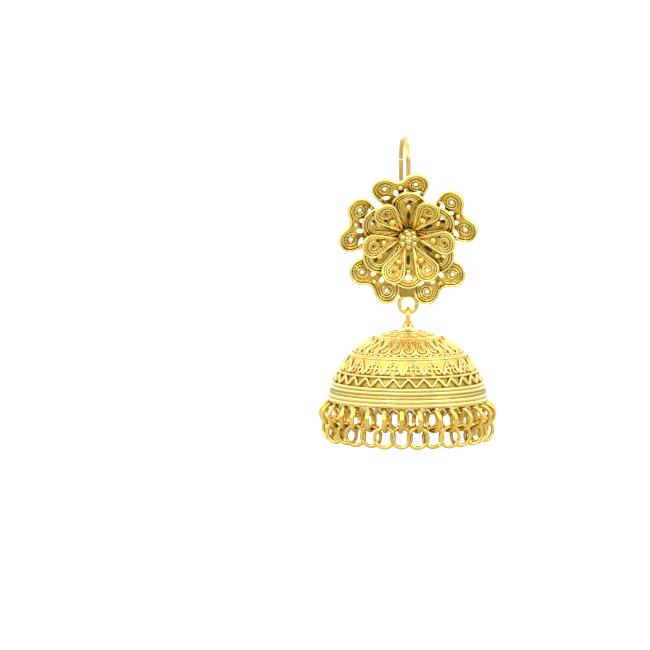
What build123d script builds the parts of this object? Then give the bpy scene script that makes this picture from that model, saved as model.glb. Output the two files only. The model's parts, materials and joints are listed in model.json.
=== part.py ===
from build123d import *
import os
from math import asin, cos, degrees, radians, sin, sqrt

# Jhumka earring, in millimetres, +Z up. The origin is the point under the ear wire's arch where the
# earring hangs. The face looks towards -Y, and the ear wire loops back towards +Y.

os.makedirs("parts", exist_ok=True)

# Ear wire and its lever catch
hook_wire = 0.8             # diameter of the ear wire and of the lever
loop_radius = 3.8           # centre line of the arch
hook_twist = 8.0            # degrees the arch is turned about its front leg
hub_below_arch = 11.3       # from the arch's centre down to the middle of the flower
leg_end = 1.2               # wire's lower end below the middle of the flower
tip_length = 0.55           # straight end of the wire past the arch
catch_gap = 0.25            # between the wire's tip and the top of the lever
foot_radius = 1.5           # disc that ties the wire to the flower
foot_thick = 0.35
hinge_back = 2.3            # hinge behind the front leg
hinge_down = 3.4            # hinge below the middle of the flower
hinge_pin_radius = 0.35
hinge_play = 0.05           # radial play of the lever on its pin
pin_fit = 0.02              # radial play of the pin in the two ears
lever_width = 1.0           # lever's barrel, along the pin
ear_thick = 0.4
ear_root = 0.5              # width of each ear where it is soldered to the foot
ear_play = 0.08             # between the barrel and each ear
barrel_radius = 0.85
lever_bend = 3.0            # radius of the lever's lower bend

# Flower: three cups of petals on one hub, face leaning downwards by the pitch
flower_pitch = 12.0
hub_radius = 1.5
hub_play = 0.05
rim_thick = 0.56            # petal rims, square to the petal
web_thick = 0.24            # openwork inside the rims
rim_width = 0.62
# layer: where each hand-set petal points, cup angle, height of the cup's point, reach along the slope,
# lobe radius, half distance between lobes (0 for one lobe), where the neck is, neck radius, where the
# openwork inside the rim starts, and the lower and upper face of the layer's hub
layers = {
    "back_petals": dict(bearings=(26, 99, 164, 232, 305), cup=20.0, height=0.0, reach=11.9, lobe=2.2,
                        spread=2.6, neck_at=3.4, neck=0.8, open_at=4.3, hub_low=-0.3, hub_high=0.95),
    "middle_petals": dict(bearings=(30, 90, 152, 211, 270, 330), cup=22.0, height=0.65, reach=9.0,
                          lobe=2.85, spread=0.0, neck_at=2.0, neck=0.6, open_at=3.0, hub_low=0.95,
                          hub_high=1.5),
    "top_petals": dict(bearings=(357, 57, 130, 189, 245, 302), cup=25.5, height=1.25, reach=8.6,
                       lobe=2.05, spread=0.0, neck_at=2.0, neck=0.35, open_at=3.4, hub_low=1.5,
                       hub_high=2.2),
}
hub_back = layers["back_petals"]["hub_low"]
hub_front = layers["top_petals"]["hub_high"]
open_tip = 0.15             # radius of the openwork's narrow end
notch_back = 1.5            # the metal between two lobes is centred this far short of them
notch_fillet = 0.6          # where it meets them
core_radius = 1.2           # ball of beads at the middle
core_lift = 1.0             # its centre above the hub
bead_radius = 0.56
bead_ring_reach = 1.24      # bead centres from the middle of the ball

# Rings that carry the drop
ring_wire = 0.75
drop_ring_radius = 1.48     # centre line of the ring soldered below the flower
drop_ring_down = 11.2       # its centre below the hub, along the flower's face
drop_ring_out = 2.95        # and in front of the hub
bridge = (3.4, 1.0, 0.6)    # solder bridge between the two lower petals
bridge_down = 9.25
link_radius = 1.41          # centre line of the loose link
link_play = 0.05            # gap where a ring hangs in another

# Cap with its eye
eye_thick = 0.5
eye_hole = 0.5
eye_above_pin = 1.35        # tip of the cap above the link's lowest wire
cap_round_below = 0.45      # the cap is round below this depth under the link's lowest wire
cap_height_below = 0.9      # from the link's lowest wire down to the dome's crown
cap_base = 1.64             # radii of the cap at the crown, at its waist, and of its rounded tip
cap_waist = 0.98
cap_flare = 1.1             # radius halfway down the flare
cap_tip = 0.45
eye_blank = 3.0             # width of the cuts that pinch the eye flat

# Dome, measured up from the lower edge of the rim
dome_radius = 13.3
dome_height = 11.7
dome_wall = 0.5
rim_band_height = 2.0
rim_inner = 12.6
ridge_rows = [              # height above the rim's edge, radius of the half-round ridge
    dict(up=5.0, size=0.17), dict(up=5.45, size=0.17),
    dict(up=8.1, size=0.17), dict(up=8.65, size=0.17),
    dict(up=10.75, size=0.14),
]
rim_ridges = [dict(up=0.42, size=0.36), dict(up=1.12, size=0.33)]

# Fringe: a wavy wire under the rim, a ring in each of its troughs, and a ring in each of those
ring_count = 30
fringe_radius = 12.9
wave_wire = 0.35
wave_rise = 0.75
wave_sink = 0.06            # the wave's tops are soldered this deep into the rim
wave_top_share = 0.4        # share of the bend radius that the upper bends take
solder_bead = 0.195         # where two bends of the wave meet
fringe_wire = 0.6
upper_ring_radius = 1.75    # centre lines
lower_ring_radius = 1.65
lower_ring_stagger = 0.36   # neighbours lie this far in front and behind, so that they pass

# Frames: the flower's face, and the plane of the ear wire's loop
right = Vector(1, 0, 0)
face_out = Vector(0, -cos(radians(flower_pitch)), -sin(radians(flower_pitch)))
face_up = face_out.cross(right)
loop_back = face_out * -cos(radians(hook_twist)) - right * sin(radians(hook_twist))
loop_centre = Vector(0, 0, -(loop_radius - hook_wire / 2))
loop_plane = Plane(origin=loop_centre, x_dir=loop_back, z_dir=loop_back.cross(face_up))
foot_middle = loop_plane.from_local_coords((-loop_radius, -hub_below_arch, 0))
flower_plane = Plane(origin=foot_middle + face_out * (hook_wire / 2 + foot_thick - hub_back),
                     x_dir=right, z_dir=face_out)
drop_ring_centre = flower_plane.from_local_coords((0, -drop_ring_down, drop_ring_out))
drop_x, drop_y = drop_ring_centre.X, drop_ring_centre.Y
drop_axis = Axis((drop_x, drop_y, 0), (0, 0, 1))

# Heights of the rings and of the dome
link_pivot_z = drop_ring_centre.Z - drop_ring_radius
link_centre_z = link_pivot_z + ring_wire + link_play - link_radius
cap_pivot_z = link_centre_z - link_radius
crown_z = cap_pivot_z - cap_height_below
rim_z = crown_z - dome_height
dome_centre_z = crown_z + (dome_radius - sqrt(dome_radius**2 - cap_base**2)) - dome_radius


def front_at(z):
    """The upright front plane, raised to height z on the drop's axis."""
    return Plane(origin=(drop_x, drop_y, z), x_dir=(1, 0, 0), z_dir=(0, -1, 0))


def lobe_outline(lobe, neck):
    """A round lobe drawn in to a narrow neck; both are (centre X, centre Y, radius)."""
    with BuildSketch(mode=Mode.PRIVATE) as outline:
        for x, y, radius in (lobe, neck):
            with Locations((x, y)):
                Circle(radius)
        make_hull()
    return outline.sketch


def petal_outline(layer):
    """A petal along local +X, with a rounded notch where it has two lobes."""
    lobe_x = layer["reach"] - layer["lobe"]
    neck = (layer["neck_at"], 0, layer["neck"])
    with BuildSketch(mode=Mode.PRIVATE) as outline:
        for side in (1, -1):
            add(lobe_outline((lobe_x, side * layer["spread"], layer["lobe"]), neck))
        if layer["spread"]:
            add(lobe_outline((lobe_x - notch_back, 0, layer["spread"]), neck))
            corners = outline.vertices().filter_by(lambda corner: 0 < abs(corner.Y) < notch_back)
            fillet(corners.sort_by(Axis.X)[-2:], radius=notch_fillet)
    return outline.sketch


def petal_opening(layer):
    """The openwork field inside a petal's rim."""
    lobe_x = layer["reach"] - layer["lobe"]
    narrow = (layer["open_at"], 0, open_tip)
    with BuildSketch(mode=Mode.PRIVATE) as opening:
        for side in (1, -1):
            add(lobe_outline((lobe_x, side * layer["spread"], layer["lobe"] - rim_width), narrow))
        if layer["spread"]:
            add(lobe_outline((lobe_x - notch_back, 0, layer["spread"] - rim_width), narrow))
    return opening.sketch


def petal_plane(layer, bearing):
    """The plane a petal lies in, leaning out of the flower's face by the cup angle."""
    cup = radians(layer["cup"])
    outwards = right * cos(radians(bearing)) + face_up * sin(radians(bearing))
    along = outwards * cos(cup) + face_out * sin(cup)
    return Plane(origin=flower_plane.origin + face_out * layer["height"], x_dir=along,
                 z_dir=face_out * cos(cup) - outwards * sin(cup))


# Ear hook: one bent wire, soldered to a foot disc that also carries the two ears of the hinge
hinge_spot = (-loop_radius + hinge_back, -hub_below_arch - hinge_down)
ear_offset = lever_width / 2 + ear_play
with BuildPart() as ear_hook:
    with BuildLine(loop_plane) as hook_line:
        Line((-loop_radius, -hub_below_arch - leg_end), (-loop_radius, 0))
        ThreePointArc((-loop_radius, 0), (0, loop_radius), (loop_radius, 0))
        Line((loop_radius, 0), (loop_radius, -tip_length))
    with BuildSketch(Plane(origin=hook_line.line @ 0, x_dir=loop_plane.z_dir,
                           z_dir=hook_line.line % 0)):
        Circle(hook_wire / 2)
    sweep()
    with BuildSketch(flower_plane.offset(hub_back)):
        Circle(foot_radius)
    extrude(amount=-foot_thick - hook_wire / 4)
    for side in (1, -1):
        with BuildSketch(loop_plane.offset(side * (ear_offset + ear_thick / 2))):
            with Locations(hinge_spot):
                Circle(barrel_radius)
            with Locations((-loop_radius - foot_thick, -hub_below_arch - foot_radius / 2)):
                Rectangle(ear_root, foot_radius)
            make_hull()
            with Locations(hinge_spot):
                Circle(hinge_pin_radius + pin_fit, mode=Mode.SUBTRACT)
        extrude(amount=ear_thick / 2, both=True)
ear_hook.part.label = "ear_hook"
export_step(ear_hook.part, "parts/ear_hook.step")
# Hinge pin: a short rivet through both ears
with BuildPart() as hinge_pin:
    with BuildSketch(loop_plane):
        with Locations(hinge_spot):
            Circle(hinge_pin_radius)
    extrude(amount=ear_offset + ear_thick, both=True)
hinge_pin.part.label = "hinge_pin"
export_step(hinge_pin.part, "parts/hinge_pin.step")

# Lever: a wire that closes the loop from behind, turning on the pin
lever_top = (loop_radius, -tip_length - catch_gap)
lever_corner = (loop_radius, hinge_spot[1] + lever_bend)
with BuildPart() as lever:
    with BuildLine(loop_plane) as lever_line:
        FilletPolyline(lever_top, lever_corner, hinge_spot, radius=lever_bend)
    with BuildSketch(Plane(origin=lever_line.line @ 0, z_dir=lever_line.line % 0)):
        Circle(hook_wire / 2)
    sweep()
    with BuildSketch(loop_plane):
        with Locations(hinge_spot):
            Circle(barrel_radius)
    extrude(amount=lever_width / 2, both=True)
    with BuildSketch(loop_plane):
        with Locations(hinge_spot):
            Circle(hinge_pin_radius + hinge_play)
    extrude(amount=lever_width, both=True, mode=Mode.SUBTRACT)
lever.part.label = "lever"
export_step(lever.part, "parts/lever.step")

# Flower: each cup of petals is one soldered solid, and the cups stand on one another at the hub.
# The back cup also holds the drop ring, soldered between its two lower petals.
for name, layer in layers.items():
    outline = petal_outline(layer)
    opening = petal_opening(layer)
    with BuildPart() as petals:
        for bearing in layer["bearings"]:
            plane = petal_plane(layer, bearing)
            with BuildSketch(plane):
                add(outline)
                with Locations((layer["neck_at"] / 2, 0)):
                    Rectangle(layer["neck_at"], 2 * layer["neck"])
            extrude(amount=web_thick / 2, both=True)
            with BuildSketch(plane):
                add(outline)
                add(opening, mode=Mode.SUBTRACT)
            extrude(amount=rim_thick / 2, both=True)
        for end, way in (("hub_low", -1), ("hub_high", 1)):
            with BuildSketch(flower_plane.offset(layer[end])):
                Circle(hub_radius + hub_play)
            extrude(amount=way * layer["reach"], mode=Mode.SUBTRACT)
        with BuildSketch(flower_plane.offset(layer["hub_low"])):
            Circle(hub_radius)
        extrude(amount=layer["hub_high"] - layer["hub_low"])
        if name == "back_petals":
            with Locations(flower_plane * Location((0, -bridge_down, drop_ring_out))):
                Box(*bridge)
            with Locations(front_at(drop_ring_centre.Z)):
                Torus(drop_ring_radius, ring_wire / 2)
    petals.part.label = name
    export_step(petals.part, f"parts/{name}.step")

# Bead cluster: a ball of beads soldered over a core, flat underneath where it stands on the hub
core_height = hub_front + core_lift
bead_rows = [               # degrees up from the ball's equator, beads in the row, bearing of the first
    dict(up=90, count=1, first=0),
    dict(up=32, count=6, first=30),
    dict(up=-10, count=7, first=0),
]
with BuildPart() as bead_cluster:
    with Locations(flower_plane * Location((0, 0, core_height))):
        Sphere(core_radius)
    for row in bead_rows:
        across = bead_ring_reach * cos(radians(row["up"]))
        row_plane = flower_plane.offset(core_height + bead_ring_reach * sin(radians(row["up"])))
        with Locations(row_plane):
            with PolarLocations(across, row["count"], start_angle=row["first"]):
                Sphere(bead_radius)
    split(bisect_by=flower_plane.offset(hub_front), keep=Keep.TOP)
bead_cluster.part.label = "bead_cluster"
export_step(bead_cluster.part, "parts/bead_cluster.step")

# Link: the loose ring between the flower and the drop, square to both rings
with BuildPart() as link_ring:
    with Locations(Plane(origin=(drop_x, drop_y, link_centre_z), z_dir=(1, 0, 0))):
        Torus(link_radius, ring_wire / 2)
link_ring.part.label = "link_ring"
export_step(link_ring.part, "parts/link_ring.step")

# Cap: a flared cone, pinched flat at its tip into an eye for the link
with BuildPart() as cap:
    with BuildSketch(front_at(cap_pivot_z)):
        with BuildLine():
            Line((0, -cap_height_below), (cap_base, -cap_height_below))
            ThreePointArc((cap_base, -cap_height_below), (cap_flare, -cap_round_below),
                          (cap_waist, 0))
            Line((cap_waist, 0), (cap_tip, eye_above_pin - cap_tip))
            RadiusArc((cap_tip, eye_above_pin - cap_tip), (0, eye_above_pin), -cap_tip)
            Line((0, eye_above_pin), (0, -cap_height_below))
        make_face()
    revolve(axis=drop_axis)
    for side in (1, -1):
        with BuildSketch(front_at(cap_pivot_z).offset(side * eye_thick / 2)):
            with Locations((0, (eye_above_pin - cap_round_below) / 2)):
                Rectangle(eye_blank, eye_above_pin + cap_round_below)
        extrude(amount=side * cap_base, mode=Mode.SUBTRACT)
    with BuildSketch(front_at(cap_pivot_z)):
        with Locations((0, -link_play)):
            Circle(eye_hole)
    extrude(amount=cap_base, both=True, mode=Mode.SUBTRACT)
cap.part.label = "cap"
export_step(cap.part, "parts/cap.step")

# Dome: a thin spherical bell with soldered round wires, cut flat at its crown for the cap
def bell_height(radius, across):
    """Height of a sphere about the dome's centre, at a distance from the axis."""
    return dome_centre_z + sqrt(radius**2 - across**2)


def bell_reach(up):
    """Distance of the dome's outer face from the axis, at a height above the rim's edge."""
    return sqrt(dome_radius**2 - (rim_z + up - dome_centre_z) ** 2)


inner_radius = dome_radius - dome_wall
inner_crown = crown_z - dome_wall
band_top = rim_z + rim_band_height
inner_at_band = sqrt(inner_radius**2 - (band_top - dome_centre_z) ** 2)
inner_at_crown = sqrt(inner_radius**2 - (inner_crown - dome_centre_z) ** 2)
outer_middle = bell_reach(dome_height / 2), rim_z + dome_height / 2
inner_middle_x = inner_radius * sin(radians(45))
inner_middle = inner_middle_x, bell_height(inner_radius, inner_middle_x)
with BuildPart() as dome:
    with BuildSketch(front_at(0)):
        with BuildLine():
            Line((0, crown_z), (cap_base, crown_z))
            ThreePointArc((cap_base, crown_z), outer_middle, (bell_reach(rim_band_height), band_top))
            Line((bell_reach(rim_band_height), band_top), (inner_at_band, band_top))
            ThreePointArc((inner_at_band, band_top), inner_middle, (inner_at_crown, inner_crown))
            Line((inner_at_crown, inner_crown), (0, inner_crown))
            Line((0, inner_crown), (0, crown_z))
        make_face()
        for ridge in ridge_rows:
            with Locations((bell_reach(ridge["up"]), rim_z + ridge["up"])):
                Circle(ridge["size"])
    revolve(axis=drop_axis)
dome.part.label = "dome"
export_step(dome.part, "parts/dome.step")

# Rim band: a smooth band with two half-round ridges, and the wavy wire soldered under it
wave_half_pitch = fringe_radius * radians(180 / ring_count)
half_bend = 2 * degrees(asin(sqrt(wave_rise**2 / (wave_rise**2 + wave_half_pitch**2))))
bend_sum = wave_half_pitch / sin(radians(half_bend))
upper_bend = wave_top_share * bend_sum
lower_bend = bend_sum - upper_bend
wave_top_z = rim_z - wave_wire / 2 + wave_sink
trough_z = wave_top_z - wave_rise
joint_z = wave_top_z - upper_bend * (1 - cos(radians(half_bend)))
joint_turn = degrees(upper_bend * sin(radians(half_bend)) / fringe_radius)


def fringe_spot(bearing, z, out=0):
    """A point on the fringe's circle, and the directions away from the axis and along the circle."""
    toward = Vector(cos(radians(bearing)), sin(radians(bearing)), 0)
    return (Vector(drop_x, drop_y, z) + toward * (fringe_radius + out), toward,
            Vector(0, 0, 1).cross(toward))


def bend_plane(bearing, z, start):
    """An upright plane that touches the fringe's circle, its X at a start angle up from the circle."""
    middle, toward, along = fringe_spot(bearing, z)
    begin = along * cos(radians(start)) + Vector(0, 0, 1) * sin(radians(start))
    return Plane(origin=middle, x_dir=begin, z_dir=toward)


as_drawn = (Align.NONE, Align.NONE, Align.NONE)
with BuildPart() as rim_band:
    with BuildSketch(front_at(rim_z)):
        with BuildLine():
            Line((rim_inner, 0), (bell_reach(0), 0))
            ThreePointArc((bell_reach(0), 0), (bell_reach(rim_band_height / 2), rim_band_height / 2),
                          (bell_reach(rim_band_height), rim_band_height))
            Line((bell_reach(rim_band_height), rim_band_height), (inner_at_band, rim_band_height))
            Line((inner_at_band, rim_band_height), (rim_inner, 0))
        make_face()
        for ridge in rim_ridges:
            with Locations((bell_reach(ridge["up"]), ridge["up"])):
                Circle(ridge["size"])
    revolve(axis=drop_axis)
    for number in range(ring_count):
        low_bearing = number * 360 / ring_count
        high_bearing = low_bearing + 180 / ring_count
        with Locations(bend_plane(high_bearing, wave_top_z - upper_bend, 90 - half_bend)):
            Torus(upper_bend, wave_wire / 2, major_angle=2 * half_bend, align=as_drawn)
        with Locations(bend_plane(low_bearing, trough_z + lower_bend, 270 - half_bend)):
            Torus(lower_bend, wave_wire / 2, major_angle=2 * half_bend, align=as_drawn)
        for side in (1, -1):
            with Locations(fringe_spot(high_bearing + side * joint_turn, joint_z)[0]):
                Sphere(solder_bead)
rim_band.part.label = "rim_band"
export_step(rim_band.part, "parts/rim_band.step")

# Upper rings: each stands square to the rim in a trough of the wavy wire
upper_ring_z = trough_z + wave_wire / 2 + fringe_wire / 2 + link_play - upper_ring_radius
with BuildPart() as upper_rings:
    for number in range(ring_count):
        middle, toward, along = fringe_spot(number * 360 / ring_count, upper_ring_z)
        with Locations(Plane(origin=middle, x_dir=toward, z_dir=along)):
            Torus(upper_ring_radius, fringe_wire / 2)
upper_rings.part.label = "upper_rings"
export_step(upper_rings.part, "parts/upper_rings.step")

# Lower rings: each faces outwards in the ring above it, and neighbours pass in front and behind
stagger_lift = upper_ring_radius - sqrt(upper_ring_radius**2 - lower_ring_stagger**2)
lower_ring_z = (upper_ring_z - upper_ring_radius + fringe_wire + link_play + stagger_lift
                - lower_ring_radius)
with BuildPart() as lower_rings:
    for number in range(ring_count):
        side = 1 if number % 2 else -1
        middle, toward, along = fringe_spot(number * 360 / ring_count, lower_ring_z,
                                            side * lower_ring_stagger)
        with Locations(Plane(origin=middle, x_dir=along, z_dir=toward)):
            Torus(lower_ring_radius, fringe_wire / 2)
lower_rings.part.label = "lower_rings"
export_step(lower_rings.part, "parts/lower_rings.step")
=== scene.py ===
import json
from math import acos, asin, atan2, ceil, cos, pi, radians, sin, sqrt
from random import Random

import bmesh
import bpy
from mathutils import Matrix, Vector


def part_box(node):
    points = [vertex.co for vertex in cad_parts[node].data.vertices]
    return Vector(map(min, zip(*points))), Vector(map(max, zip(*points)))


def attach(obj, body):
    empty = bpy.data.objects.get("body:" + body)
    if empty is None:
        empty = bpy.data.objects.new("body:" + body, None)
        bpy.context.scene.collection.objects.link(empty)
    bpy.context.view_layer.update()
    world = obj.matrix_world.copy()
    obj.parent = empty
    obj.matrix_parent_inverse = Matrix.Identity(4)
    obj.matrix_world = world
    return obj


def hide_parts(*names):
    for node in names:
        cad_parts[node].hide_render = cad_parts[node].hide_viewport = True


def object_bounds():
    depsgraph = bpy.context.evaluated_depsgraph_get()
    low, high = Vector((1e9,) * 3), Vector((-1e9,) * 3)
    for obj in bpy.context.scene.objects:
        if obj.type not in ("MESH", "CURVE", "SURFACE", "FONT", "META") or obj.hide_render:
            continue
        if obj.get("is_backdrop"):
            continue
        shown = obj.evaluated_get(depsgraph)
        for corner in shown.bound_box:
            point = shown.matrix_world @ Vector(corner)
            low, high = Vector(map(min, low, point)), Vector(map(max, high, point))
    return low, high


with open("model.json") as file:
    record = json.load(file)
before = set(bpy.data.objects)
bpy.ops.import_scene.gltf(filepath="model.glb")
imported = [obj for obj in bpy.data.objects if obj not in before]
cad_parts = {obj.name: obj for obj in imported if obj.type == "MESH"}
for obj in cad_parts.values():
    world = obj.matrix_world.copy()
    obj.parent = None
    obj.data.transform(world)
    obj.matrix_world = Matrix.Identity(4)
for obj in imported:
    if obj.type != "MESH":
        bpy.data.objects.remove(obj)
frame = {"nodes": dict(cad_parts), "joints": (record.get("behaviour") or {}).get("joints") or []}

cad_low, cad_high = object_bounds()

# Ear wire: one bent gold wire with a soldered foot disc and two hinge ears, a rivet through the
# ears, and the wire lever that turns on it. Worn smooth by handling, a little redder than the rest.


def join(tree, start, end):
    """Links an output to an input, each given as (node, socket name or number)."""
    tree.links.new(start[0].outputs[start[1]], end[0].inputs[end[1]])


def colour_sockets(sockets):
    """The colour sockets of a Mix node, which has a set of sockets for each kind of value."""
    return [one for one in sockets if one.type == "RGBA"]


# Old gold, shared by every finish: soft patches of a deeper colour where polish has worn off, painted
# shade that darkens the grooves and hollows by how little open sky they see, standing in part for
# tarnish that a cloth never reaches there, and a faint hammered and scratched surface.
scratches_per_metre = 2600.0
patch_starts, patch_full = 0.35, 0.7
groove_starts, groove_full = 0.8, 0.25      # share of open sky over the surface
old_gold = bpy.data.node_groups.new("old_gold", "ShaderNodeTree")
for name in ("Bright", "Deep", "Shade And Tarnish"):
    old_gold.interface.new_socket(name, in_out="INPUT", socket_type="NodeSocketColor")
for name in ("Groove Shade Share", "Groove Reach", "Patches Per Metre", "Deep Share", "Polish",
             "Dullness"):
    old_gold.interface.new_socket(name, in_out="INPUT", socket_type="NodeSocketFloat")
for name, kind in (("Colour", "NodeSocketColor"), ("Roughness", "NodeSocketFloat"),
                   ("Height", "NodeSocketFloat")):
    old_gold.interface.new_socket(name, in_out="OUTPUT", socket_type=kind)
given = old_gold.nodes.new("NodeGroupInput")
out = old_gold.nodes.new("NodeGroupOutput")
where = old_gold.nodes.new("ShaderNodeTexCoord")

patches = old_gold.nodes.new("ShaderNodeTexNoise")
patches.inputs["Detail"].default_value = 4.0
patches.inputs["Roughness"].default_value = 0.6
share = old_gold.nodes.new("ShaderNodeMapRange")
share.inputs["From Min"].default_value = patch_starts
share.inputs["From Max"].default_value = patch_full
tint = old_gold.nodes.new("ShaderNodeMix")
tint.data_type = "RGBA"
join(old_gold, (where, "Object"), (patches, "Vector"))
join(old_gold, (given, "Patches Per Metre"), (patches, "Scale"))
join(old_gold, (patches, 0), (share, "Value"))
join(old_gold, (given, "Deep Share"), (share, "To Max"))
join(old_gold, (share, 0), (tint, 0))
bright_in, deep_in = colour_sockets(tint.inputs)
old_gold.links.new(given.outputs["Bright"], bright_in)
old_gold.links.new(given.outputs["Deep"], deep_in)

# Painted shade in the grooves: the less open sky a point sees, the more its colour turns to the
# shade-and-tarnish colour.
grooves = old_gold.nodes.new("ShaderNodeAmbientOcclusion")
grooves.samples = 8
depth = old_gold.nodes.new("ShaderNodeMapRange")
depth.inputs["From Min"].default_value = groove_starts
depth.inputs["From Max"].default_value = groove_full
groove_shaded = old_gold.nodes.new("ShaderNodeMix")
groove_shaded.data_type = "RGBA"
join(old_gold, (given, "Groove Reach"), (grooves, "Distance"))
join(old_gold, (grooves, "AO"), (depth, "Value"))
join(old_gold, (given, "Groove Shade Share"), (depth, "To Max"))
join(old_gold, (depth, 0), (groove_shaded, 0))
clean_in, shade_in = colour_sockets(groove_shaded.inputs)
old_gold.links.new(colour_sockets(tint.outputs)[0], clean_in)
old_gold.links.new(given.outputs["Shade And Tarnish"], shade_in)
old_gold.links.new(colour_sockets(groove_shaded.outputs)[0], out.inputs["Colour"])

scratches = old_gold.nodes.new("ShaderNodeTexNoise")
scratches.inputs["Scale"].default_value = scratches_per_metre
scratches.inputs["Detail"].default_value = 3.0
dull = old_gold.nodes.new("ShaderNodeMapRange")
join(old_gold, (where, "Object"), (scratches, "Vector"))
join(old_gold, (scratches, 0), (dull, "Value"))
join(old_gold, (given, "Polish"), (dull, "To Min"))
join(old_gold, (given, "Dullness"), (dull, "To Max"))
join(old_gold, (dull, 0), (out, "Roughness"))
join(old_gold, (scratches, 0), (out, "Height"))


def gold_finish(name, bright, deep, shade_and_tarnish=(0.12, 0.075, 0.012), groove_shade_share=0.85,
                groove_reach=0.0005, patches_per_metre=220.0, deep_share=0.4, polish=0.14,
                dullness=0.3, hammering=0.00002):
    """A gold material: the old-gold group feeding one metal shader under a thin clear lacquer."""
    finish = bpy.data.materials.new(name)
    finish.use_nodes = True
    tree = finish.node_tree
    metal = tree.nodes["Principled BSDF"]
    metal.inputs["Metallic"].default_value = 1.0
    metal.inputs["Coat Weight"].default_value = 0.25
    metal.inputs["Coat Roughness"].default_value = 0.1
    group = tree.nodes.new("ShaderNodeGroup")
    group.node_tree = old_gold
    for key, value in (("Bright", (*bright, 1)), ("Deep", (*deep, 1)), ("Shade And Tarnish", (*shade_and_tarnish, 1)),
                       ("Groove Shade Share", groove_shade_share), ("Groove Reach", groove_reach),
                       ("Patches Per Metre", patches_per_metre), ("Deep Share", deep_share),
                       ("Polish", polish), ("Dullness", dullness)):
        group.inputs[key].default_value = value
    bump = tree.nodes.new("ShaderNodeBump")
    bump.inputs["Distance"].default_value = hammering
    join(tree, (group, "Colour"), (metal, "Base Color"))
    join(tree, (group, "Roughness"), (metal, "Roughness"))
    join(tree, (group, "Height"), (bump, "Height"))
    join(tree, (bump, "Normal"), (metal, "Normal"))
    return finish


ear_wire_gold = gold_finish("ear_wire_gold", (0.80, 0.54, 0.18), (0.48, 0.27, 0.06), polish=0.12,
                            dullness=0.22)
for node in ("ear_hook", "hinge_pin", "lever"):
    frame["nodes"][node].material_slots[0].material = ear_wire_gold

# Back petals: five two-lobed petals, each a thin pierced sheet with a double plain rim, a beaded
# wire inside it, a beaded coil in each lobe and two beaded lines up its middle. They are soldered
# to a hub disc, and a solder bridge between the lower two holds the drop ring.
millimetre = 0.001
flower_pitch = radians(12)                  # the flower's face leans downwards
face_out = Vector((0, -cos(flower_pitch), -sin(flower_pitch)))
face_up = Vector((0, -sin(flower_pitch), cos(flower_pitch)))
right = Vector((1, 0, 0))
link_low, link_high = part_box("link_ring")
drop_axis = (link_low + link_high) / 2 / millimetre
joint_at = {joint["name"]: Vector(joint["pos_m"]) / millimetre for joint in frame["joints"]}
drop_ring_radius = 1.48
drop_ring_wire = 0.375
drop_ring_middle = Vector((drop_axis.x, drop_axis.y, joint_at["link_swing"].z + drop_ring_radius))
hub_above_ring, hub_behind_ring = 11.2, 2.95
hub_middle = drop_ring_middle + face_up * hub_above_ring - face_out * hub_behind_ring
hub_radius = 1.5
bead_step = 0.54                            # spacing of the beads along a beaded wire
bead_waist = 0.4                            # how thin that wire is between its beads
sheet_inset = 0.3                           # a petal's sheet ends under its rim wire

flower_gold = gold_finish("petal_wire_gold", (1.0, 0.85, 0.26), (1.0, 0.66, 0.11),
                          shade_and_tarnish=(0.40, 0.22, 0.03), groove_shade_share=0.6, polish=0.04,
                          dullness=0.12)
# The sheet under the wires: its strong, wide-reaching groove darkening and near-black shade colour
# are painted shade between the wires and in the gaps.
flower_recess_gold = gold_finish("flower_recess_gold", (0.96, 0.66, 0.12), (0.60, 0.34, 0.035),
                                 shade_and_tarnish=(0.13, 0.068, 0.009), groove_shade_share=0.9,
                                 groove_reach=0.0013, patches_per_metre=700.0, deep_share=0.8,
                                 polish=0.3, dullness=0.45)
bead_gold = gold_finish("bead_gold", (0.98, 0.78, 0.24), (0.88, 0.62, 0.13), groove_shade_share=0.5,
                        polish=0.04, dullness=0.1)
ring_gold = gold_finish("link_wire_gold", (0.92, 0.68, 0.18), (0.66, 0.43, 0.08), polish=0.1,
                        dullness=0.2)
# The solder bridge's dark colour is painted shade.
shaded_solder_gold = gold_finish("shaded_solder_gold", (0.54, 0.39, 0.09), (0.30, 0.20, 0.04), polish=0.4,
                          patches_per_metre=900.0, deep_share=0.7, dullness=0.6, hammering=0.00008)


def spaced(points, step, closed=False):
    """The same line with evenly spaced points, about a step apart and even in number."""
    line = [Vector(point) for point in points]
    if closed:
        line.append(line[0])
    reach = [0.0]
    for before, after in zip(line, line[1:]):
        reach.append(reach[-1] + (after - before).length)
    count = max(2, 2 * ceil(reach[-1] / step / 2))
    even, span = [], 0
    for number in range(count if closed else count + 1):
        target = reach[-1] * number / count
        while span < len(line) - 2 and reach[span + 1] < target:
            span += 1
        length = reach[span + 1] - reach[span]
        even.append(line[span].lerp(line[span + 1], (target - reach[span]) / length if length else 0))
    return even


def add_curve(piece, curve, slot, place=None):
    """Adds a curve's mesh to the piece, in one finish, and removes the curve."""
    holder = bpy.data.objects.new(curve.name, curve)
    mesh = bpy.data.meshes.new_from_object(holder)
    if place:
        mesh.transform(place)
    for face in mesh.polygons:
        face.material_index = slot
    piece.from_mesh(mesh)
    bpy.data.objects.remove(holder)
    bpy.data.curves.remove(curve)
    bpy.data.meshes.remove(mesh)


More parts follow.
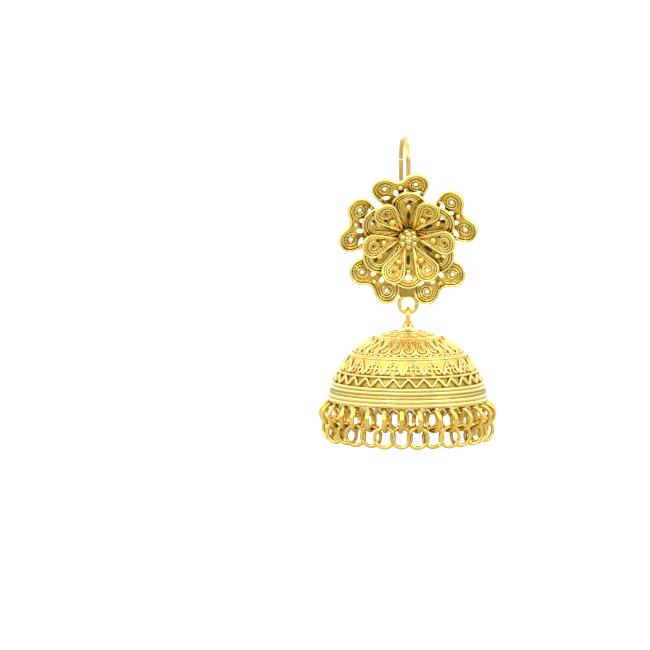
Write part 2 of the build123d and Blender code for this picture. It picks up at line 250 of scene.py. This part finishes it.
def add_wires(piece, lines, radius, closed=False, beads=0.0, waist=0.55, roundness=1, slot=0):
    """Adds round wires along lines of points. With a bead spacing the wire swells into beads."""
    curve = bpy.data.curves.new("wire", "CURVE")
    curve.dimensions = "3D"
    curve.bevel_depth = radius
    curve.bevel_resolution = roundness
    curve.use_fill_caps = True
    for points in lines:
        if beads:
            points = spaced(points, beads / 2, closed)
        spline = curve.splines.new("POLY")
        spline.points.add(len(points) - 1)
        for number, (knot, point) in enumerate(zip(spline.points, points)):
            knot.co = (*point, 1)
            knot.radius = waist if beads and number % 2 else 1.0
        spline.use_cyclic_u = closed
    add_curve(piece, curve, slot)


def new_faces(made):
    """The faces of a shape that an operator has just made."""
    return list(dict.fromkeys(face for vert in made["verts"] for face in vert.link_faces))


def add_beads(piece, centres, radius, slot=0):
    """Adds round granules."""
    for centre in centres:
        made = bmesh.ops.create_icosphere(piece, subdivisions=2, radius=radius,
                                          matrix=Matrix.Translation(centre))
        for face in new_faces(made):
            face.material_index = slot


def upright_ring(middle, radius, steps):
    """A round line that stands upright and faces the front."""
    return [middle + Vector((radius * cos(2 * pi * step / steps), 0,
                             radius * sin(2 * pi * step / steps))) for step in range(steps)]


def finished(piece, name, body, slot_name, finishes, *nodes):
    """Turns a piece made in millimetres into an object of the frame, shaded smooth."""
    bmesh.ops.scale(piece, vec=(millimetre,) * 3, verts=piece.verts)
    for face in piece.faces:
        face.smooth = True
    mesh = bpy.data.meshes.new(name)
    piece.to_mesh(mesh)
    piece.free()
    for finish in finishes:
        mesh.materials.append(finish)
    made = bpy.data.objects.new(name, mesh)
    bpy.context.scene.collection.objects.link(made)
    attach(made, body)
    if nodes:
        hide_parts(*nodes)


def petal_place(layer, bearing):
    """Where a petal lies: X along it, Y across it, Z out of its face."""
    turn, cup = radians(bearing), radians(layer["cup"])
    outwards = right * cos(turn) + face_up * sin(turn)
    along = outwards * cos(cup) + face_out * sin(cup)
    normal = face_out * cos(cup) - outwards * sin(cup)
    across = normal.cross(along)
    turned = Matrix((along, across, normal)).transposed().to_4x4()
    return Matrix.Translation(hub_middle + face_out * layer["height"]) @ turned


def on_petal(place, outline, lift):
    """A flat outline laid in a petal, at a lift above its face."""
    return [place @ Vector((x, y, lift)) for x, y in outline]


def straight(start, end, steps):
    """Evenly spaced points from a start to an end."""
    return [(start[0] + (end[0] - start[0]) * step / steps,
             start[1] + (end[1] - start[1]) * step / steps) for step in range(steps + 1)]


def coil(x, y, outer, inner, pitch, start, way=1):
    """A flat spiral from its outer turn to its inner one."""
    turns = (outer - inner) / pitch
    steps_per_turn = 22
    count = int(turns * steps_per_turn)
    points = []
    for number in range(count + 1):
        part = number / count
        radius = outer + (inner - outer) * part
        turn = start + way * 2 * pi * turns * part
        points.append((x + radius * cos(turn), y + radius * sin(turn)))
    return points


def oval(x, y, across, along, steps=14):
    """A closed oval line."""
    return [(x + along * cos(2 * pi * step / steps), y + across * sin(2 * pi * step / steps))
            for step in range(steps)]


def petal_edge(layer, inset):
    """A petal's edge, drawn in by the inset: from the tip round a lobe to the root, and back."""
    notch_steps, lobe_steps, side_steps = 7, 22, 8
    least_neck, root_share = 0.08, 0.8
    lobe_x, lobe_y = layer["reach"] - layer["lobe"], layer["spread"]
    lobe_radius = layer["lobe"] - inset
    neck_x, neck_radius = layer["neck_at"], max(layer["neck"] - inset, least_neck)
    apart = sqrt(lobe_y ** 2 + (lobe_x - neck_x) ** 2)
    side_turn = atan2(lobe_y, lobe_x - neck_x) + acos((neck_radius - lobe_radius) / apart)
    lobe_turn = 0.0
    half = []
    if lobe_y:
        notch_radius = layer["notch"] + inset
        notch_x = lobe_x + sqrt((lobe_radius + notch_radius) ** 2 - lobe_y ** 2)
        notch_turn = atan2(lobe_y, notch_x - lobe_x)
        lobe_turn = -notch_turn
        for step in range(notch_steps):
            turn = pi - notch_turn * step / notch_steps
            half.append((notch_x + notch_radius * cos(turn), notch_radius * sin(turn)))
    for step in range(lobe_steps + 1):
        turn = lobe_turn + (side_turn - lobe_turn) * step / lobe_steps
        half.append((lobe_x + lobe_radius * cos(turn), lobe_y + lobe_radius * sin(turn)))
    neck = (neck_x + neck_radius * cos(side_turn), neck_radius * sin(side_turn))
    half += straight(half[-1], neck, side_steps)[1:]
    half.append((layer["root"], neck[1] * root_share))
    return half + [(x, -y) for x, y in reversed(half if lobe_y else half[1:])]


def add_sheet(piece, place, outline, holes, thick, lift, slot=1):
    """Adds a flat sheet with holes, laid in a petal."""
    curve = bpy.data.curves.new("sheet", "CURVE")
    curve.dimensions = "2D"
    curve.fill_mode = "BOTH"
    curve.extrude = thick / 2
    for loop in [outline] + holes:
        spline = curve.splines.new("POLY")
        spline.points.add(len(loop) - 1)
        for knot, (x, y) in zip(spline.points, loop):
            knot.co = (x, y, 0, 1)
        spline.use_cyclic_u = True
    add_curve(piece, curve, slot, place @ Matrix.Translation((0, 0, lift)))


def add_rims(piece, layer, place, inset, wire, lifts, beads=0.0):
    """Adds wires that follow a petal's edge, one behind the other."""
    for lift in lifts:
        add_wires(piece, [on_petal(place, petal_edge(layer, inset), lift)], wire, closed=True,
                  beads=beads, roundness=1 if beads else 2)


def on_flower_axis(height):
    """The place on the flower's axis at a height before its hub, facing out."""
    return (Matrix.Translation(hub_middle + face_out * height)
            @ face_out.to_track_quat("Z", "Y").to_matrix().to_4x4())


def add_hub_disc(piece, low, high):
    """Adds the disc at the root of a layer of petals."""
    made = bmesh.ops.create_cone(piece, cap_ends=True, segments=32, radius1=hub_radius,
                                 radius2=hub_radius, depth=high - low,
                                 matrix=on_flower_axis((low + high) / 2))
    for face in new_faces(made):
        face.material_index = 1


# Bearings run from the flower's right over its top, and the cup is how far a layer of petals tips
# forwards, both in degrees. The reach, lobe, spread, neck and notch draw one petal's edge.
back = dict(bearings=(26, 99, 164, 232, 305), cup=20.0, height=0.0, reach=11.9, lobe=2.2, spread=2.6,
            neck_at=3.4, neck=0.8, notch=1.5, root=1.3)
back_finishes = [flower_gold, flower_recess_gold, shaded_solder_gold, ring_gold, bead_gold]
lobe_x, lobe_y = back["reach"] - back["lobe"], back["spread"]
first_coil_start, coil_start_step = 170, 40     # degrees
filigree_lift = 0.06
piece = bmesh.new()
for number, bearing in enumerate(back["bearings"]):
    place = petal_place(back, bearing)
    add_rims(piece, back, place, inset=0.22, wire=0.22, lifts=(-0.08, 0.16))
    add_rims(piece, back, place, inset=0.69, wire=0.19, lifts=(0.0,), beads=bead_step)
    coils, lines, holes = [], [], []
    for side in (1, -1):
        curl = coil(lobe_x, side * lobe_y, outer=1.16, inner=0.5, pitch=0.42,
                    start=radians(first_coil_start + coil_start_step * number), way=side)
        line = straight((5.0, side * 0.3), (8.1, side * 1.5), 10)
        coils.append(on_petal(place, curl, filigree_lift))
        lines.append(on_petal(place, line, filigree_lift))
        holes += [oval(lobe_x, side * lobe_y, across=0.3, along=0.3),
                  oval(lobe_x - 1.8, side * (lobe_y + 0.1), across=0.8, along=0.4),
                  oval(lobe_x - 1.1, side * (lobe_y - 1.7), across=0.4, along=0.66),
                  oval(lobe_x - 2.8, side * 0.66, across=0.34, along=0.55)]
    add_wires(piece, coils + lines, radius=0.21, beads=bead_step, waist=bead_waist)
    add_sheet(piece, place, petal_edge(back, sheet_inset), holes, thick=0.12, lift=-0.14)
    granules = on_petal(place, [(lobe_x + 0.05, 0), (lobe_x - 1.9, 0)], lift=0.16)
    add_beads(piece, granules, radius=0.5, slot=back_finishes.index(bead_gold))
add_hub_disc(piece, low=-0.3, high=0.95)

bridge_below_hub = 9.1
bridge_wide, bridge_high, bridge_thick = 2.9, 1.7, 0.6
bridge = bmesh.new()
bridge_middle = hub_middle - face_up * bridge_below_hub + face_out * hub_behind_ring
bmesh.ops.create_cube(bridge, size=1.0, matrix=Matrix.Translation(bridge_middle)
                      @ Matrix((right, face_up, face_out)).transposed().to_4x4()
                      @ Matrix.Diagonal((bridge_wide, bridge_high, bridge_thick, 1)))
bmesh.ops.bevel(bridge, geom=list(bridge.edges), offset=0.28, segments=4, profile=0.5, material=-1,
                affect="EDGES")
for face in bridge.faces:
    face.material_index = back_finishes.index(shaded_solder_gold)
shape = bpy.data.meshes.new("solder_bridge")
bridge.to_mesh(shape)
bridge.free()
piece.from_mesh(shape)
bpy.data.meshes.remove(shape)
add_wires(piece, [upright_ring(drop_ring_middle, drop_ring_radius, steps=56)],
          radius=drop_ring_wire, closed=True, roundness=5, slot=back_finishes.index(ring_gold))
finished(piece, "back_petal_filigree", "flower", "flower_gold", back_finishes, "back_petals")

# Middle petals: six broad petals, each a thin pierced sheet with a double plain rim, a beaded wire
# and two fine plain wires inside it, one granule, and a narrow hole at its root over a near-black
# plate that is painted shadow. A dished plate, near-black as painted shadow too, closes the flower
# behind the top petals.
# Near-black gold that paints shadow: the plates behind the petals' root holes, and the dish.
painted_shadow_gold = gold_finish("painted_shadow_gold", (0.12, 0.075, 0.015), (0.04, 0.022, 0.005), polish=0.5,
                          dullness=0.7)
middle = dict(bearings=(30, 90, 152, 211, 270, 330), cup=22.0, height=0.65, reach=9.0, lobe=2.85,
              spread=0.0, neck_at=2.0, neck=0.6, root=1.3)
middle_finishes = [flower_gold, flower_recess_gold, painted_shadow_gold, bead_gold]
hollow_x, granule_x, lobe_hole_x = 4.1, 6.1, 7.15
dish_height, dish_depth, dish_wall = 1.16, 0.54, 0.08
piece = bmesh.new()
for bearing in middle["bearings"]:
    place = petal_place(middle, bearing)
    add_rims(piece, middle, place, inset=0.18, wire=0.18, lifts=(-0.12, 0.12))
    add_rims(piece, middle, place, inset=0.66, wire=0.2, lifts=(0.04,), beads=bead_step)
    add_rims(piece, middle, place, inset=1.12, wire=0.14, lifts=(0.06,))
    add_rims(piece, middle, place, inset=1.42, wire=0.13, lifts=(0.12,))
    holes = [oval(lobe_hole_x, 0, across=0.6, along=0.6),
             oval(hollow_x, 0, across=0.32, along=0.85)]
    add_sheet(piece, place, petal_edge(middle, sheet_inset), holes, thick=0.12, lift=-0.12)
    # Near-black plate behind the root hole: painted shadow.
    add_sheet(piece, place, oval(hollow_x, 0, across=0.42, along=1.0), [], thick=0.06, lift=-0.24,
              slot=middle_finishes.index(painted_shadow_gold))
    add_beads(piece, on_petal(place, [(granule_x, 0)], lift=0.26), radius=0.58,
              slot=middle_finishes.index(bead_gold))
# The dish behind the top petals is near-black: painted shadow.
dish = new_faces(bmesh.ops.create_cone(piece, cap_ends=False, segments=48, radius1=1.4, radius2=2.8,
                                       depth=dish_depth, matrix=on_flower_axis(dish_height)))
for face in dish:
    face.material_index = middle_finishes.index(painted_shadow_gold)
bmesh.ops.solidify(piece, geom=dish, thickness=dish_wall)
add_hub_disc(piece, low=0.95, high=1.5)
finished(piece, "middle_petal_filigree", "flower", "flower_gold", middle_finishes, "middle_petals")

# Top petals: six teardrops, each a thin pierced sheet with a double plain rim, a beaded wire inside
# it, one large granule, and a beaded hook that runs up from the root and curls in the wide end.
top = dict(bearings=(357, 57, 130, 189, 245, 302), cup=25.5, height=1.25, reach=8.6, lobe=2.05,
           spread=0.0, neck_at=2.0, neck=0.35, root=1.2)
top_finishes = [flower_gold, flower_recess_gold, bead_gold]
lobe_x = top["reach"] - top["lobe"]
hook_outer, hook_inner = 1.06, 0.5
hook_start, hook_sweep = 118, 440           # degrees
hook_steps = 60
granule_x, granule_aside = 4.65, 0.12
piece = bmesh.new()
for number, bearing in enumerate(top["bearings"]):
    place = petal_place(top, bearing)
    side = 1 if number % 2 else -1
    add_rims(piece, top, place, inset=0.21, wire=0.21, lifts=(-0.1, 0.14))
    add_rims(piece, top, place, inset=0.62, wire=0.2, lifts=(0.02,), beads=bead_step)
    hook = straight((3.4, side * 0.1), (5.64, side * 0.82), 8)
    for step in range(hook_steps + 1):
        turn = radians(hook_start - hook_sweep * step / hook_steps)
        radius = hook_outer + (hook_inner - hook_outer) * step / hook_steps
        hook.append((lobe_x + radius * cos(turn), side * radius * sin(turn)))
    add_wires(piece, [on_petal(place, hook, lift=0.1)], radius=0.2, beads=bead_step,
              waist=bead_waist)
    holes = [oval(lobe_x - 1.05, -side * 0.75, across=0.28, along=0.4),
             oval(lobe_x, 0, across=0.24, along=0.24)]
    add_sheet(piece, place, petal_edge(top, sheet_inset), holes, thick=0.14, lift=-0.08)
    add_beads(piece, on_petal(place, [(granule_x, -side * granule_aside)], lift=0.26), radius=0.6,
              slot=top_finishes.index(bead_gold))
add_hub_disc(piece, low=1.5, high=2.2)
finished(piece, "top_petal_filigree", "flower", "flower_gold", top_finishes, "top_petals")

# Ball of granules at the middle of the flower, soldered over a core.
granule_gold = gold_finish("granule_gold", (0.92, 0.74, 0.28), (0.62, 0.44, 0.12), polish=0.12)
frame["nodes"]["bead_cluster"].material_slots[0].material = granule_gold

# Link ring between the flower and the drop: one plain round wire ring.
frame["nodes"]["link_ring"].material_slots[0].material = ring_gold

# Bell: a thin raised dome with a small flared cap on its crown and a reeded rim. Its ground is
# sunk a little between the ridges and duller than the polished wire; it is painted a little darker
# in the arch band and darkest behind the ric-rac, both painted shade.
bell_gold = gold_finish("bell_gold", (0.93, 0.80, 0.32), (0.93, 0.68, 0.17),
                        shade_and_tarnish=(0.62, 0.38, 0.06), groove_shade_share=0.5, polish=0.14,
                        dullness=0.26)
bell_ground_gold = gold_finish("bell_ground_gold", (0.94, 0.65, 0.15), (0.80, 0.50, 0.08),
                               shade_and_tarnish=(0.60, 0.35, 0.05), patches_per_metre=900.0,
                               groove_shade_share=0.5, polish=0.28, dullness=0.42,
                               hammering=0.00006)
# Dark gold for the ground behind the ric-rac: painted shade.
bell_shade_gold = gold_finish("bell_shade_gold", (0.46, 0.32, 0.06), (0.26, 0.17, 0.025),
                              shade_and_tarnish=(0.20, 0.12, 0.018), patches_per_metre=900.0, polish=0.3,
                              dullness=0.45, hammering=0.00006)
# A little darker ground for the arch band: painted shade among the arches.
arch_ground_gold = gold_finish("arch_ground_gold", (0.92, 0.62, 0.13), (0.70, 0.44, 0.065),
                               shade_and_tarnish=(0.52, 0.30, 0.045), patches_per_metre=1200.0,
                               groove_shade_share=0.5, polish=0.28, dullness=0.42,
                               hammering=0.00006)
bell_radius = 13.3
bell_wall = 0.5
bell_height = 11.7
bell_foot = 2.0                             # the dome starts this far above the rim's lower edge
crown_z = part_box("cap")[0].z / millimetre
rim_z = crown_z - bell_height
cap_radius = 1.64
bell_middle = Vector((drop_axis.x, drop_axis.y, crown_z - sqrt(bell_radius ** 2 - cap_radius ** 2)))
ground_steps = ((bell_foot, 0.0), (3.2, 0.0), (3.3, 0.22), (4.75, 0.22), (4.85, 0.0), (5.1, 0.0),
                (5.2, 0.16), (7.5, 0.16), (7.6, 0.0), (8.1, 0.0), (8.2, 0.14), (10.55, 0.14),
                (10.65, 0.0), (10.85, 0.0), (10.95, 0.1), (11.69, 0.1))     # height, how far sunk
ric_rac_band = (3.25, 4.8)
arch_band = (5.15, 7.55)
ground_pitch = 0.35
inner_top, inner_steps = 11.6, 40
crown_dip = 0.12


def bell_spot(turn, up, across=0.0, along=0.0, proud=0.0):
    """A point on the bell: degrees round it, height above its rim, then millimetres to the side, up
    the slope and out of the surface."""
    slope = asin((rim_z + up - bell_middle.z) / bell_radius)
    way = radians(turn) + across / (bell_radius * cos(slope))
    slope += along / bell_radius
    reach = bell_radius + proud
    return bell_middle + Vector((reach * cos(slope) * cos(way), reach * cos(slope) * sin(way),
                                 reach * sin(slope)))


outside = []
for (low, low_sink), (high, high_sink) in zip(ground_steps, ground_steps[1:]):
    steps = max(1, ceil((high - low) / ground_pitch))
    for step in range(steps):
        part = step / steps
        outside.append(bell_spot(0, low + (high - low) * part,
                                 proud=-low_sink - (high_sink - low_sink) * part))
outside.append(Vector((drop_axis.x, drop_axis.y, crown_z - crown_dip)))
inside = [bell_spot(0, bell_foot + (inner_top - bell_foot) * step / inner_steps, proud=-bell_wall)
          for step in range(inner_steps)]
inside.append(bell_middle + Vector((0, 0, bell_radius - bell_wall)))
piece = bmesh.new()
wall = [piece.verts.new(point) for point in inside[::-1] + outside]
for before, after in zip(wall, wall[1:]):
    piece.edges.new((before, after))
bmesh.ops.spin(piece, geom=list(piece.verts) + list(piece.edges),
               cent=(drop_axis.x, drop_axis.y, 0), axis=(0, 0, 1), angle=2 * pi, steps=160,
               use_merge=True)
bmesh.ops.remove_doubles(piece, verts=piece.verts, dist=0.0005)
bmesh.ops.recalc_face_normals(piece, faces=piece.faces)
# The ground in the ric-rac band and in the arch band takes the painted shade finishes.
for face in piece.faces:
    middle_point = face.calc_center_median()
    up = middle_point.z - rim_z
    if (middle_point - bell_middle).length > bell_radius - bell_wall / 2:
        if ric_rac_band[0] < up < ric_rac_band[1]:
            face.material_index = 1
        elif arch_band[0] < up < arch_band[1]:
            face.material_index = 2
finished(piece, "bell_shell", "drop", "dome_gold",
         [bell_ground_gold, bell_shade_gold, arch_ground_gold], "dome")
for node in ("cap", "rim_band"):
    frame["nodes"][node].material_slots[0].material = bell_gold

# Wire work soldered on the bell, from the rim up: a beaded wire and two polished half-round bands
# with thin dull wires between them, dark as painted shade in the grooves, a ric-rac wire, arches over
# pairs of small rings, pointed leaf loops, and coils round the cap. Plain wires divide the bands.
# Dull dark gold for the thin wires in the rim's grooves: painted shade.
bell_groove_gold = gold_finish("bell_groove_gold", (0.52, 0.33, 0.06), (0.34, 0.20, 0.03),
                               groove_shade_share=0.6, polish=0.35, dullness=0.5)
wirework_finishes = [bell_gold, bell_groove_gold]


def bell_ring(up, proud=0.0, steps=180):
    """A level line round the bell."""
    return [bell_spot(360 * step / steps, up, proud=proud) for step in range(steps)]


def on_bell(turn, up, outline, size=1.0, proud=0.0):
    """A small flat outline laid on the bell."""
    return [bell_spot(turn, up, across=size * x, along=size * y, proud=proud) for x, y in outline]


def mirrored(half):
    """A whole outline from its left half. A half that starts on the middle line makes a loop."""
    other = half[1:-1] if half[0][0] == 0 else half[:-1]
    return half + tuple((-x, y) for x, y in reversed(other))


piece = bmesh.new()
rim_bead_step = 0.36
add_wires(piece, [bell_ring(1.76, proud=0.02)], radius=0.17, closed=True, beads=rim_bead_step)
add_wires(piece, [bell_ring(2.38, proud=-0.1), bell_ring(3.0, proud=-0.1)], radius=0.31,
          closed=True, roundness=3)
# Thin wires in the grooves between the rim's bands, their dark colour painted shade.
add_wires(piece, [bell_ring(1.5, proud=0.02), bell_ring(2.03, proud=0.02), bell_ring(2.69)],
          radius=0.09, closed=True, slot=wirework_finishes.index(bell_groove_gold))
add_wires(piece, [bell_ring(4.95), bell_ring(7.7)], radius=0.2, closed=True, roundness=2)
add_wires(piece, [bell_ring(8.02)], radius=0.13, closed=True, roundness=2)
add_wires(piece, [bell_ring(10.75, steps=96)], radius=0.14, closed=True, roundness=2)

ric_rac_up, ric_rac_swing = 4.05, 0.64
ric_rac_count, ric_rac_start = 30, 2.2
ric_rac_steps = 12                          # points in each wave
ric_rac_point = 0.94                        # 1 would make its bends quite sharp
for proud in (-0.12, 0.06):
    ric_rac = []
    for number in range(ric_rac_count * ric_rac_steps):
        wave = asin(ric_rac_point * sin(2 * pi * number / ric_rac_steps)) / asin(ric_rac_point)
        ric_rac.append(bell_spot(ric_rac_start + 360 * number / ric_rac_count / ric_rac_steps,
                                 ric_rac_up, along=ric_rac_swing * wave, proud=proud))
    add_wires(piece, [ric_rac], radius=0.23, closed=True)

arch_count, arch_start, arch_up = 20, 3.3, 6.55
arch_ring_aside, arch_ring_up, arch_ring_radius = 0.78, 5.85, 0.46
arch_granule_up = 5.5
arch = mirrored(((-1.5, -1.45), (-1.42, -0.95), (-1.2, -0.4), (-0.86, 0.14), (-0.42, 0.66),
                 (0.0, 1.0)))
inner_arch = mirrored(((0.0, -0.55), (-0.4, -0.3), (-0.5, 0.02), (-0.28, 0.34), (0.0, 0.58)))
arches, arch_fillings, arch_granules = [], [], []
for number in range(arch_count):
    turn = arch_start + number * 360 / arch_count
    arches.append(on_bell(turn, arch_up, arch, proud=0.05))
    arch_fillings.append(on_bell(turn, arch_up, inner_arch))
    for across in (-arch_ring_aside, arch_ring_aside):
        ring = oval(across, 0, arch_ring_radius, arch_ring_radius, steps=10)
        arch_fillings.append(on_bell(turn, arch_ring_up, ring, proud=0.02))
    arch_granules.append(bell_spot(turn + 180 / arch_count, arch_granule_up))
add_beads(piece, arch_granules, radius=0.3)
add_wires(piece, arches, radius=0.19)
add_wires(piece, arch_fillings, radius=0.15, closed=True)

leaf_count, leaf_up, leaf_ring_up = 24, 9.4, 8.4
leaf = mirrored(((0.0, -1.95), (-0.62, -1.6), (-0.9, -1.0), (-0.86, -0.3), (-0.64, 0.5),
                 (-0.34, 1.3), (0.0, 2.1)))
leaf_ring = oval(0, 0, across=0.3, along=0.3, steps=10)
leaves, leaf_fillings = [], []
for number in range(leaf_count):
    turn = number * 360 / leaf_count
    leaves.append(on_bell(turn, leaf_up, leaf, proud=0.04))
    leaf_fillings.append(on_bell(turn, leaf_up, leaf, size=0.58))
    leaf_fillings.append(on_bell(turn + 180 / leaf_count, leaf_ring_up, leaf_ring, proud=-0.02))
add_wires(piece, leaves, radius=0.17, closed=True)
add_wires(piece, leaf_fillings, radius=0.14, closed=True)

crown_coil_count, crown_coil_up = 14, 11.28
crown_coil = coil(0.0, 0.0, outer=0.72, inner=0.12, pitch=0.3, start=radians(250))
crown_coils = [on_bell(number * 360 / crown_coil_count, crown_coil_up, crown_coil, proud=-0.02)
               for number in range(crown_coil_count)]
add_wires(piece, crown_coils, radius=0.11)
add_wires(piece, [bell_ring(11.55, steps=60)], radius=0.12, closed=True)
finished(piece, "bell_wirework", "drop", "dome_gold", wirework_finishes)

# Fringe: broad rings hung in the wavy wire under the rim, and a second row of round wire rings
# hung in those, each closed by hand and hanging a little differently. The upper ones hang across
# the rim, turned a little, and the lower ones face outwards.
# Its strong, wide-reaching groove darkening paints shade among the crowded rings.
fringe_gold = gold_finish("fringe_gold", (1.0, 0.74, 0.16), (0.66, 0.37, 0.035),
                          shade_and_tarnish=(0.20, 0.09, 0.008), groove_shade_share=0.95, groove_reach=0.0026,
                          polish=0.06, dullness=0.14, deep_share=0.6)
ring_count = 30
fringe_radius = 12.9
upper_turn, upper_turn_varies = 22, 12      # degrees from hanging straight across the rim,
lower_turn, lower_turn_varies = 90, 32      # and how much that varies round it
tilt = 2.5                                  # degrees, the usual lean of a hanging ring
hang = Random(11)
for name, node, wire, broad, radius, stagger, sway in (
        ("upper_ring_row", "upper_rings", 0.33, 1.3, 1.72, 0.0, 5.0),
        ("lower_ring_row", "lower_rings", 0.34, 1.0, 1.63, 0.36, 3.0)):
    low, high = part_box(node)
    middle_z = (low.z + high.z) / 2 / millimetre
    one_ring = bmesh.new()
    add_wires(one_ring, [upright_ring(Vector(), radius, steps=40)], radius=wire, closed=True,
              roundness=4)
    bmesh.ops.scale(one_ring, vec=(1, broad, 1), verts=one_ring.verts)
    shape = bpy.data.meshes.new(node)
    one_ring.to_mesh(shape)
    one_ring.free()
    piece = bmesh.new()
    for number in range(ring_count):
        bearing = radians(number * 360 / ring_count)
        out_from_axis = fringe_radius + (stagger if number % 2 else -stagger)
        if node == "upper_rings":
            turn = upper_turn + upper_turn_varies * sin(bearing)
        else:
            turn = lower_turn - lower_turn_varies * cos(bearing)
        turned = bearing + radians(turn + hang.gauss(0, sway))
        tilted = radians(hang.gauss(0, tilt))
        middle_point = Vector((drop_axis.x + out_from_axis * cos(bearing),
                               drop_axis.y + out_from_axis * sin(bearing), middle_z))
        before = len(piece.verts)
        piece.from_mesh(shape)
        piece.verts.ensure_lookup_table()
        bmesh.ops.transform(piece, verts=piece.verts[before:],
                            matrix=Matrix.Translation(middle_point) @ Matrix.Rotation(turned, 4, "Z")
                            @ Matrix.Translation((0, 0, radius)) @ Matrix.Rotation(tilted, 4, "X")
                            @ Matrix.Translation((0, 0, -radius)))
    bpy.data.meshes.remove(shape)
    finished(piece, name, "drop", "ring_gold", [fringe_gold], node)

# Studio: a pale floor under the hanging earring, soft lamps above and beside it, and a pale room
# whose two upright strips, left and right of the front, each hold a dark card below a bright one.
floor_gap = 0.009
floor_half = 20
floor_glow = 0.7
piece = bmesh.new()
bmesh.ops.create_grid(piece, x_segments=1, y_segments=1, size=floor_half,
                      matrix=Matrix.Translation((0, 0, cad_low.z - floor_gap)))
mesh = bpy.data.meshes.new("floor")
piece.to_mesh(mesh)
piece.free()
floor = bpy.data.objects.new("floor", mesh)
paper = bpy.data.materials.new("pale_paper")
paper.use_nodes = True
tree = paper.node_tree
sheet = tree.nodes["Principled BSDF"]
sheet.inputs["Base Color"].default_value = (0.5, 0.5, 0.5, 1)
sheet.inputs["Roughness"].default_value = 0.9
sheet.inputs["Emission Color"].default_value = (1, 1, 1, 1)
seen = tree.nodes.new("ShaderNodeLightPath")
glow = tree.nodes.new("ShaderNodeMath")
glow.operation = "MULTIPLY"
glow.inputs[1].default_value = floor_glow
join(tree, (seen, "Is Camera Ray"), (glow, 0))
join(tree, (glow, 0), (sheet, "Emission Strength"))
mesh.materials.append(paper)
bpy.context.scene.collection.objects.link(floor)
floor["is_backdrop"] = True

room_level = 1.35
card_levels = ((0.0, 0.7), (0.41, 0.55), (0.45, 0.03), (0.6, 0.03), (0.64, 1.0), (0.71, 2.7),
               (0.85, 1.7), (1.0, 1.4))     # height from floor to ceiling, brightness
card_aside, card_half_width, card_fades_by = 0.58, 0.16, 0.3
world = bpy.data.worlds.new("studio")
bpy.context.scene.world = world
world.use_nodes = True
tree = world.node_tree
direction = tree.nodes.new("ShaderNodeTexCoord")
parts = tree.nodes.new("ShaderNodeSeparateXYZ")
height = tree.nodes.new("ShaderNodeMapRange")
height.inputs["From Min"].default_value = -1.0
cards = tree.nodes.new("ShaderNodeValToRGB")
while len(cards.color_ramp.elements) < len(card_levels):
    cards.color_ramp.elements.new(0.5)
for element, (position, level) in zip(cards.color_ramp.elements, card_levels):
    element.position = position
    element.color = (level, level, level, 1)
aside = tree.nodes.new("ShaderNodeMath")
aside.operation = "ABSOLUTE"
past_card = tree.nodes.new("ShaderNodeMath")
past_card.operation = "SUBTRACT"
past_card.inputs[1].default_value = card_aside
off_card = tree.nodes.new("ShaderNodeMath")
off_card.operation = "ABSOLUTE"
off_or_behind = tree.nodes.new("ShaderNodeMath")
off_or_behind.operation = "MAXIMUM"
fade = tree.nodes.new("ShaderNodeMapRange")
fade.inputs["From Min"].default_value = card_half_width
fade.inputs["From Max"].default_value = card_fades_by
room = tree.nodes.new("ShaderNodeMix")
room.data_type = "RGBA"
seen = tree.nodes.new("ShaderNodeLightPath")
backdrop = tree.nodes.new("ShaderNodeMix")
backdrop.data_type = "RGBA"
cards_in, plain_in = colour_sockets(room.inputs)
plain_in.default_value = (room_level, room_level, room_level, 1)
room_in, white_in = colour_sockets(backdrop.inputs)
white_in.default_value = (1, 1, 1, 1)
join(tree, (direction, "Generated"), (parts, 0))
join(tree, (parts, "Z"), (height, "Value"))
join(tree, (height, 0), (cards, 0))
join(tree, (parts, "X"), (aside, 0))
join(tree, (aside, 0), (past_card, 0))
join(tree, (past_card, 0), (off_card, 0))
join(tree, (off_card, 0), (off_or_behind, 0))
join(tree, (parts, "Y"), (off_or_behind, 1))
join(tree, (off_or_behind, 0), (fade, "Value"))
join(tree, (fade, 0), (room, 0))
join(tree, (seen, "Is Camera Ray"), (backdrop, 0))
tree.links.new(cards.outputs[0], cards_in)
tree.links.new(colour_sockets(room.outputs)[0], room_in)
tree.links.new(colour_sockets(backdrop.outputs)[0], tree.nodes["Background"].inputs["Color"])

aim = Vector((drop_axis.x, drop_axis.y, -30)) * millimetre
for name, spot, size, watts in (("key_light", (-0.25, -0.35, 0.42), 0.16, 0.5),
                                ("fill_light", (0.38, -0.3, 0.2), 0.2, 0.2),
                                ("top_light", (0.02, 0.12, 0.5), 0.25, 0.4)):
    lamp = bpy.data.lights.new(name, "AREA")
    lamp.size = size
    lamp.energy = watts
    made = bpy.data.objects.new(name, lamp)
    made.location = spot
    made.rotation_euler = (aim - Vector(spot)).to_track_quat("-Z", "Y").to_euler()
    bpy.context.scene.collection.objects.link(made)

# Camera: a long lens a little above the earring, which hangs right of the middle of the view.
camera_distance = 0.6
camera_rise = radians(5.4)
view_middle = Vector((-13.3, drop_axis.y, -30.57)) * millimetre
back_off = Vector((0, -cos(camera_rise), sin(camera_rise)))
lens = bpy.data.cameras.new("camera")
lens.sensor_width = 36
lens.lens = 199.4
lens.clip_start = 0.01
lens.clip_end = 20
camera = bpy.data.objects.new("camera", lens)
camera.location = view_middle + back_off * camera_distance
camera.rotation_euler = (-back_off).to_track_quat("-Z", "Y").to_euler()
bpy.context.scene.collection.objects.link(camera)
bpy.context.scene.camera = camera
bpy.context.scene.view_settings.view_transform = "Standard"

low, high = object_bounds()
